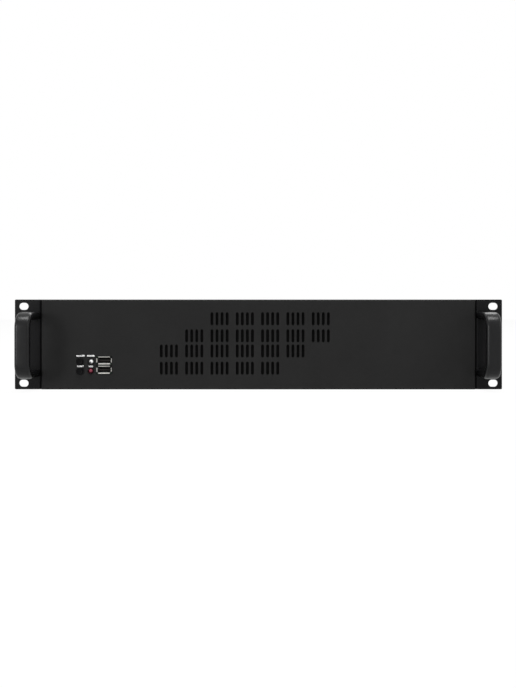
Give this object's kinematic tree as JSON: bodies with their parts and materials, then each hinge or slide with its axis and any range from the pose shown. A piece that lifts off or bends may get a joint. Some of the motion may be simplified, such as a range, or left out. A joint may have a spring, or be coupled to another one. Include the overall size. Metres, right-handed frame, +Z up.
{
  "type": "rack-mount computer case",
  "caption": "Low black rack-mount computer case with rack ears, bow handles, staggered front vents, push buttons, lamps, sockets and fans behind the vents.",
  "frame": {"origin": "centre of the four rack slots, on the rear face of the ears", "axes": "+X to the right seen from the front, +Y to the rear of the case, +Z up"},
  "size_m": [0.4826, 0.353, 0.0889],
  "materials": {
    "panel_black": "satin black powder coat",
    "case_black": "satin black powder coat",
    "handle_black": "semi-gloss moulded black",
    "screw_black": "black oxide",
    "screw_zinc": "bright zinc plate",
    "zinc_sheet": "galvanised sheet",
    "standoff_brass": "plain turned brass",
    "fan_plastic": "black glass-filled plastic",
    "rotor_plastic": "black moulded plastic",
    "button_black": "satin black plastic",
    "switch_body": "black plastic",
    "clear_lamp": "milky clear resin",
    "red_lamp": "tinted red resin",
    "socket_nickel": "bright nickel plate",
    "socket_black": "black moulded plastic",
    "contact_gold": "flash gold plate",
    "board_green": "green solder mask",
    "filter_black": "black foam"
  },
  "bodies": {
    "case": {"front_panel": "panel_black", "base_tray": "case_black", "fan_wall": "case_black", "rear_panel": "case_black", "left_ear": "case_black", "right_ear": "case_black", "left_handle": "handle_black", "right_handle": "handle_black", "ear_screws": "screw_black", "handle_screws": "screw_black", "rear_rivets": "screw_black", "panel_screws": "screw_zinc", "card_cover_screws": "screw_zinc", "floor_screws": "screw_zinc", "fan_screws": "screw_zinc", "control_board_screws": "screw_zinc", "drive_bracket": "zinc_sheet", "card_covers": "zinc_sheet", "board_standoffs": "standoff_brass", "control_board_spacers": "standoff_brass", "left_fan_frame": "fan_plastic", "right_fan_frame": "fan_plastic", "power_switch": "switch_body", "reset_switch": "switch_body", "power_lamp": "clear_lamp", "drive_lamp": "red_lamp", "upper_socket_shell": "socket_nickel", "lower_socket_shell": "socket_nickel", "upper_socket_insulator": "socket_black", "lower_socket_insulator": "socket_black", "socket_contacts": "contact_gold", "control_board": "board_green", "vent_filter": "filter_black"},
    "cover": {"top_cover": "case_black", "cover_thumbscrews": "screw_black"},
    "power_key": {"power_button": "button_black"},
    "reset_key": {"reset_button": "button_black"},
    "left_fan_wheel": {"left_fan_rotor": "rotor_plastic"},
    "right_fan_wheel": {"right_fan_rotor": "rotor_plastic"}
  },
  "joints": [
    {"name": "cover_slide", "type": "slide", "parent": "case", "child": "cover", "axis": [0, 1, 0], "range_m": [0, 0.012]},
    {"name": "power_press", "type": "slide", "parent": "case", "child": "power_key", "axis": [0, 1, 0], "range_m": [0, 0.0015], "stiffness_N_per_m": 600},
    {"name": "reset_press", "type": "slide", "parent": "case", "child": "reset_key", "axis": [0, 1, 0], "range_m": [0, 0.0015], "stiffness_N_per_m": 600},
    {"name": "left_fan_spin", "type": "hinge", "parent": "case", "child": "left_fan_wheel", "pos_m": [-0.0544, 0.02, -0.0006], "axis": [0, 1, 0], "continuous": true},
    {"name": "right_fan_spin", "type": "hinge", "parent": "case", "child": "right_fan_wheel", "pos_m": [0.0276, 0.02, -0.0006], "axis": [0, 1, 0], "continuous": true}
  ]
}
